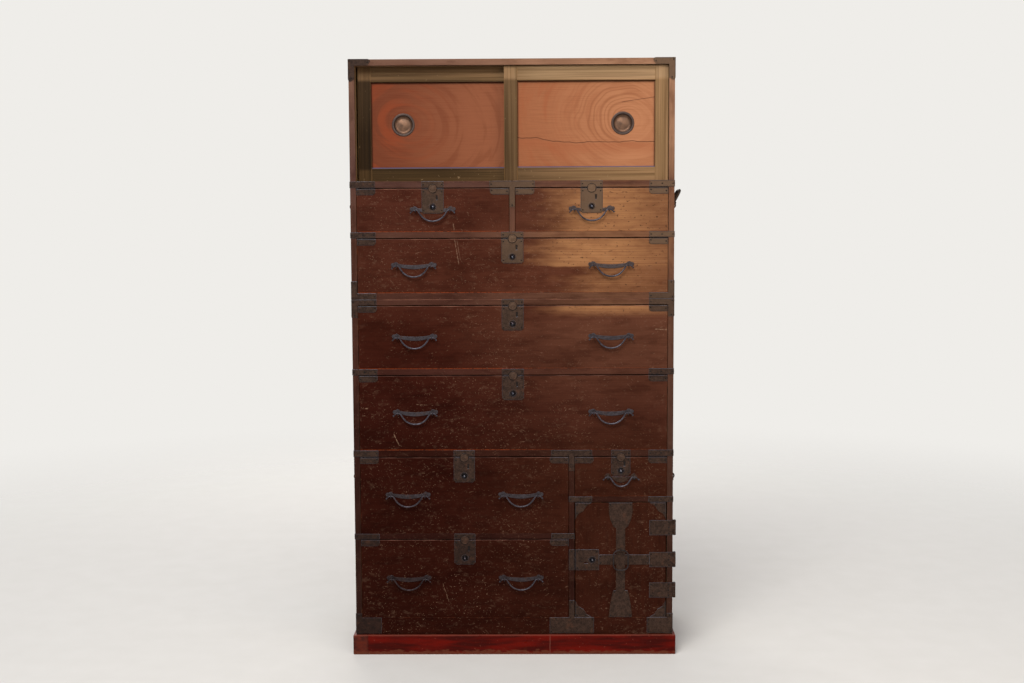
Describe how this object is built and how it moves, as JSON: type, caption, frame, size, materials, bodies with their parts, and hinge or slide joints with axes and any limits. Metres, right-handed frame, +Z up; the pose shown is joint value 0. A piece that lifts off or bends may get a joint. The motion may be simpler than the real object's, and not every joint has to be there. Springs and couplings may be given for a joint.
{
  "type": "isho clothing chest",
  "caption": "Tall clothing chest in two stacked cases on a plinth, with drawers, sliding doors, a hinged door and iron fittings.",
  "frame": {"origin": "on the floor, under the middle of the chest's whole bounding box", "axes": "+Z up; the drawer fronts face -Y; +X is to the right for someone facing the front"},
  "size_m": [0.9765, 0.4562, 1.6922],
  "materials": {
    "lock_button": "round push button, worn dark iron",
    "iron_plate": "hammered flat iron, brown-black and worn at its edges",
    "iron_dish": "pressed dark iron dish",
    "iron_bail": "forged bar, dark and rubbed bright",
    "iron_handle": "heavy forged bar",
    "plinth_lacquer": "deep red lacquer, rough at its lower edge",
    "door_cypress": "orange-brown lacquered wood with strong grain",
    "bare_planks": "bare aged softwood planks",
    "red_lacquer": "dark red-brown wiped lacquer, flecked and scratched",
    "case_wood": "red-brown lacquered softwood"
  },
  "bodies": {
    "chest": {"plinth_frame": "plinth_lacquer", "lower_side_boards": "case_wood", "lower_top_and_bottom": "case_wood", "lower_dividers": "case_wood", "lower_back_planks": "bare_planks", "lower_case_iron": "iron_plate", "upper_side_boards": "case_wood", "upper_top_and_bottom": "case_wood", "upper_dividers": "case_wood", "upper_back_planks": "bare_planks", "upper_case_iron": "iron_plate"},
    "small_drawer_left": {"small_drawer_left": "red_lacquer", "small_drawer_left_iron": "iron_plate"},
    "small_drawer_left_button": {"small_drawer_left_button": "lock_button"},
    "small_drawer_left_pull": {"small_drawer_left_pull": "iron_bail"},
    "small_drawer_right": {"small_drawer_right": "red_lacquer", "small_drawer_right_iron": "iron_plate"},
    "small_drawer_right_button": {"small_drawer_right_button": "lock_button"},
    "small_drawer_right_pull": {"small_drawer_right_pull": "iron_bail"},
    "wide_drawer_1": {"wide_drawer_1": "red_lacquer", "wide_drawer_1_iron": "iron_plate"},
    "wide_drawer_1_button": {"wide_drawer_1_button": "lock_button"},
    "wide_drawer_1_pull_left": {"wide_drawer_1_pull_left": "iron_bail"},
    "wide_drawer_1_pull_right": {"wide_drawer_1_pull_right": "iron_bail"},
    "wide_drawer_2": {"wide_drawer_2": "red_lacquer", "wide_drawer_2_iron": "iron_plate"},
    "wide_drawer_2_button": {"wide_drawer_2_button": "lock_button"},
    "wide_drawer_2_pull_left": {"wide_drawer_2_pull_left": "iron_bail"},
    "wide_drawer_2_pull_right": {"wide_drawer_2_pull_right": "iron_bail"},
    "wide_drawer_3": {"wide_drawer_3": "red_lacquer", "wide_drawer_3_iron": "iron_plate"},
    "wide_drawer_3_button": {"wide_drawer_3_button": "lock_button"},
    "wide_drawer_3_pull_left": {"wide_drawer_3_pull_left": "iron_bail"},
    "wide_drawer_3_pull_right": {"wide_drawer_3_pull_right": "iron_bail"},
    "left_drawer_4": {"left_drawer_4": "red_lacquer", "left_drawer_4_iron": "iron_plate"},
    "left_drawer_4_button": {"left_drawer_4_button": "lock_button"},
    "left_drawer_4_pull_left": {"left_drawer_4_pull_left": "iron_bail"},
    "left_drawer_4_pull_right": {"left_drawer_4_pull_right": "iron_bail"},
    "left_drawer_5": {"left_drawer_5": "red_lacquer", "left_drawer_5_iron": "iron_plate"},
    "left_drawer_5_button": {"left_drawer_5_button": "lock_button"},
    "left_drawer_5_pull_left": {"left_drawer_5_pull_left": "iron_bail"},
    "left_drawer_5_pull_right": {"left_drawer_5_pull_right": "iron_bail"},
    "safe_drawer": {"safe_drawer": "red_lacquer", "safe_drawer_iron": "iron_plate"},
    "safe_drawer_button": {"safe_drawer_button": "lock_button"},
    "safe_drawer_pull": {"safe_drawer_pull": "iron_bail"},
    "sliding_door_left": {"sliding_door_left": "door_cypress", "sliding_door_left_pull": "iron_dish"},
    "sliding_door_right": {"sliding_door_right": "door_cypress", "sliding_door_right_pull": "iron_dish"},
    "hinged_door": {"hinged_door": "red_lacquer", "hinged_door_iron": "iron_plate"},
    "hinged_door_button": {"hinged_door_button": "lock_button"},
    "hinged_door_ring": {"hinged_door_ring": "iron_bail"},
    "upper_handle_left": {"upper_handle_left": "iron_handle"},
    "upper_handle_right": {"upper_handle_right": "iron_handle"},
    "lower_handle_left": {"lower_handle_left": "iron_handle"},
    "lower_handle_right": {"lower_handle_right": "iron_handle"}
  },
  "joints": [
    {"name": "small_drawer_left_slide", "type": "slide", "parent": "chest", "child": "small_drawer_left", "axis": [0, -1, 0], "range_m": [0, 0.34]},
    {"name": "small_drawer_left_button_press", "type": "slide", "parent": "small_drawer_left", "child": "small_drawer_left_button", "axis": [0, 1, 0], "range_m": [0, 0.003], "stiffness_N_per_m": 200, "springref_m": -0.002},
    {"name": "small_drawer_left_pull_swing", "type": "hinge", "parent": "small_drawer_left", "child": "small_drawer_left_pull", "pos_m": [-0.22287, -0.2219, 1.27226], "axis": [-1, 0, 0], "range_deg": [-10, 170]},
    {"name": "small_drawer_right_slide", "type": "slide", "parent": "chest", "child": "small_drawer_right", "axis": [0, -1, 0], "range_m": [0, 0.34]},
    {"name": "small_drawer_right_button_press", "type": "slide", "parent": "small_drawer_right", "child": "small_drawer_right_button", "axis": [0, 1, 0], "range_m": [0, 0.003], "stiffness_N_per_m": 200, "springref_m": -0.002},
    {"name": "small_drawer_right_pull_swing", "type": "hinge", "parent": "small_drawer_right", "child": "small_drawer_right_pull", "pos_m": [0.22287, -0.2219, 1.27226], "axis": [-1, 0, 0], "range_deg": [-10, 170]},
    {"name": "wide_drawer_1_slide", "type": "slide", "parent": "chest", "child": "wide_drawer_1", "axis": [0, -1, 0], "range_m": [0, 0.34]},
    {"name": "wide_drawer_1_button_press", "type": "slide", "parent": "wide_drawer_1", "child": "wide_drawer_1_button", "axis": [0, 1, 0], "range_m": [0, 0.003], "stiffness_N_per_m": 200, "springref_m": -0.002},
    {"name": "wide_drawer_1_pull_left_swing", "type": "hinge", "parent": "wide_drawer_1", "child": "wide_drawer_1_pull_left", "pos_m": [-0.27769, -0.2219, 1.11626], "axis": [-1, 0, 0], "range_deg": [-10, 170]},
    {"name": "wide_drawer_1_pull_right_swing", "type": "hinge", "parent": "wide_drawer_1", "child": "wide_drawer_1_pull_right", "pos_m": [0.27769, -0.2219, 1.11626], "axis": [-1, 0, 0], "range_deg": [-10, 170]},
    {"name": "wide_drawer_2_slide", "type": "slide", "parent": "chest", "child": "wide_drawer_2", "axis": [0, -1, 0], "range_m": [0, 0.34]},
    {"name": "wide_drawer_2_button_press", "type": "slide", "parent": "wide_drawer_2", "child": "wide_drawer_2_button", "axis": [0, 1, 0], "range_m": [0, 0.003], "stiffness_N_per_m": 200, "springref_m": -0.002},
    {"name": "wide_drawer_2_pull_left_swing", "type": "hinge", "parent": "wide_drawer_2", "child": "wide_drawer_2_pull_left", "pos_m": [-0.27769, -0.2219, 0.91401], "axis": [-1, 0, 0], "range_deg": [-10, 170]},
    {"name": "wide_drawer_2_pull_right_swing", "type": "hinge", "parent": "wide_drawer_2", "child": "wide_drawer_2_pull_right", "pos_m": [0.27769, -0.2219, 0.91401], "axis": [-1, 0, 0], "range_deg": [-10, 170]},
    {"name": "wide_drawer_3_slide", "type": "slide", "parent": "chest", "child": "wide_drawer_3", "axis": [0, -1, 0], "range_m": [0, 0.34]},
    {"name": "wide_drawer_3_button_press", "type": "slide", "parent": "wide_drawer_3", "child": "wide_drawer_3_button", "axis": [0, 1, 0], "range_m": [0, 0.003], "stiffness_N_per_m": 200, "springref_m": -0.002},
    {"name": "wide_drawer_3_pull_left_swing", "type": "hinge", "parent": "wide_drawer_3", "child": "wide_drawer_3_pull_left", "pos_m": [-0.27769, -0.2219, 0.69876], "axis": [-1, 0, 0], "range_deg": [-10, 170]},
    {"name": "wide_drawer_3_pull_right_swing", "type": "hinge", "parent": "wide_drawer_3", "child": "wide_drawer_3_pull_right", "pos_m": [0.27769, -0.2219, 0.69876], "axis": [-1, 0, 0], "range_deg": [-10, 170]},
    {"name": "left_drawer_4_slide", "type": "slide", "parent": "chest", "child": "left_drawer_4", "axis": [0, -1, 0], "range_m": [0, 0.34]},
    {"name": "left_drawer_4_button_press", "type": "slide", "parent": "left_drawer_4", "child": "left_drawer_4_button", "axis": [0, 1, 0], "range_m": [0, 0.003], "stiffness_N_per_m": 200, "springref_m": -0.002},
    {"name": "left_drawer_4_pull_left_swing", "type": "hinge", "parent": "left_drawer_4", "child": "left_drawer_4_pull_left", "pos_m": [-0.30089, -0.2219, 0.46125], "axis": [-1, 0, 0], "range_deg": [-10, 170]},
    {"name": "left_drawer_4_pull_right_swing", "type": "hinge", "parent": "left_drawer_4", "child": "left_drawer_4_pull_right", "pos_m": [0.02104, -0.2219, 0.46125], "axis": [-1, 0, 0], "range_deg": [-10, 170]},
    {"name": "left_drawer_5_slide", "type": "slide", "parent": "chest", "child": "left_drawer_5", "axis": [0, -1, 0], "range_m": [0, 0.34]},
    {"name": "left_drawer_5_button_press", "type": "slide", "parent": "left_drawer_5", "child": "left_drawer_5_button", "axis": [0, 1, 0], "range_m": [0, 0.003], "stiffness_N_per_m": 200, "springref_m": -0.002},
    {"name": "left_drawer_5_pull_left_swing", "type": "hinge", "parent": "left_drawer_5", "child": "left_drawer_5_pull_left", "pos_m": [-0.30089, -0.2219, 0.2195], "axis": [-1, 0, 0], "range_deg": [-10, 170]},
    {"name": "left_drawer_5_pull_right_swing", "type": "hinge", "parent": "left_drawer_5", "child": "left_drawer_5_pull_right", "pos_m": [0.02104, -0.2219, 0.2195], "axis": [-1, 0, 0], "range_deg": [-10, 170]},
    {"name": "safe_drawer_slide", "type": "slide", "parent": "chest", "child": "safe_drawer", "axis": [0, -1, 0], "range_m": [0, 0.34]},
    {"name": "safe_drawer_button_press", "type": "slide", "parent": "safe_drawer", "child": "safe_drawer_button", "axis": [0, 1, 0], "range_m": [0, 0.003], "stiffness_N_per_m": 200, "springref_m": -0.002},
    {"name": "safe_drawer_pull_swing", "type": "hinge", "parent": "safe_drawer", "child": "safe_drawer_pull", "pos_m": [0.30593, -0.2219, 0.51451], "axis": [-1, 0, 0], "range_deg": [-10, 170]},
    {"name": "sliding_door_left_slide", "type": "slide", "parent": "chest", "child": "sliding_door_left", "axis": [1, 0, 0], "range_m": [-0.0044, 0.4114]},
    {"name": "sliding_door_right_slide", "type": "slide", "parent": "chest", "child": "sliding_door_right", "axis": [1, 0, 0], "range_m": [-0.4158, 0]},
    {"name": "hinged_door_swing", "type": "hinge", "parent": "chest", "child": "hinged_door", "pos_m": [0.4593, -0.209, 0.27458], "axis": [0, 0, 1], "range_deg": [0, 250]},
    {"name": "hinged_door_button_press", "type": "slide", "parent": "hinged_door", "child": "hinged_door_button", "axis": [0, 1, 0], "range_m": [0, 0.003], "stiffness_N_per_m": 200, "springref_m": -0.002},
    {"name": "hinged_door_ring_swing", "type": "hinge", "parent": "hinged_door", "child": "hinged_door_ring", "pos_m": [0.30562, -0.2219, 0.30358], "axis": [-1, 0, 0], "range_deg": [-5, 160]},
    {"name": "upper_handle_left_swing", "type": "hinge", "parent": "chest", "child": "upper_handle_left", "pos_m": [-0.4685, 0.0081, 1.28693], "axis": [0, 1, 0], "range_deg": [-8, 170]},
    {"name": "upper_handle_right_swing", "type": "hinge", "parent": "chest", "child": "upper_handle_right", "pos_m": [0.4685, 0.0081, 1.28693], "axis": [0, -1, 0], "range_deg": [-160, 18]},
    {"name": "lower_handle_left_swing", "type": "hinge", "parent": "chest", "child": "lower_handle_left", "pos_m": [-0.4685, 0.0081, 0.48684], "axis": [0, 1, 0], "range_deg": [-8, 170]},
    {"name": "lower_handle_right_swing", "type": "hinge", "parent": "chest", "child": "lower_handle_right", "pos_m": [0.4685, 0.0081, 0.48684], "axis": [0, -1, 0], "range_deg": [-8, 170]}
  ]
}
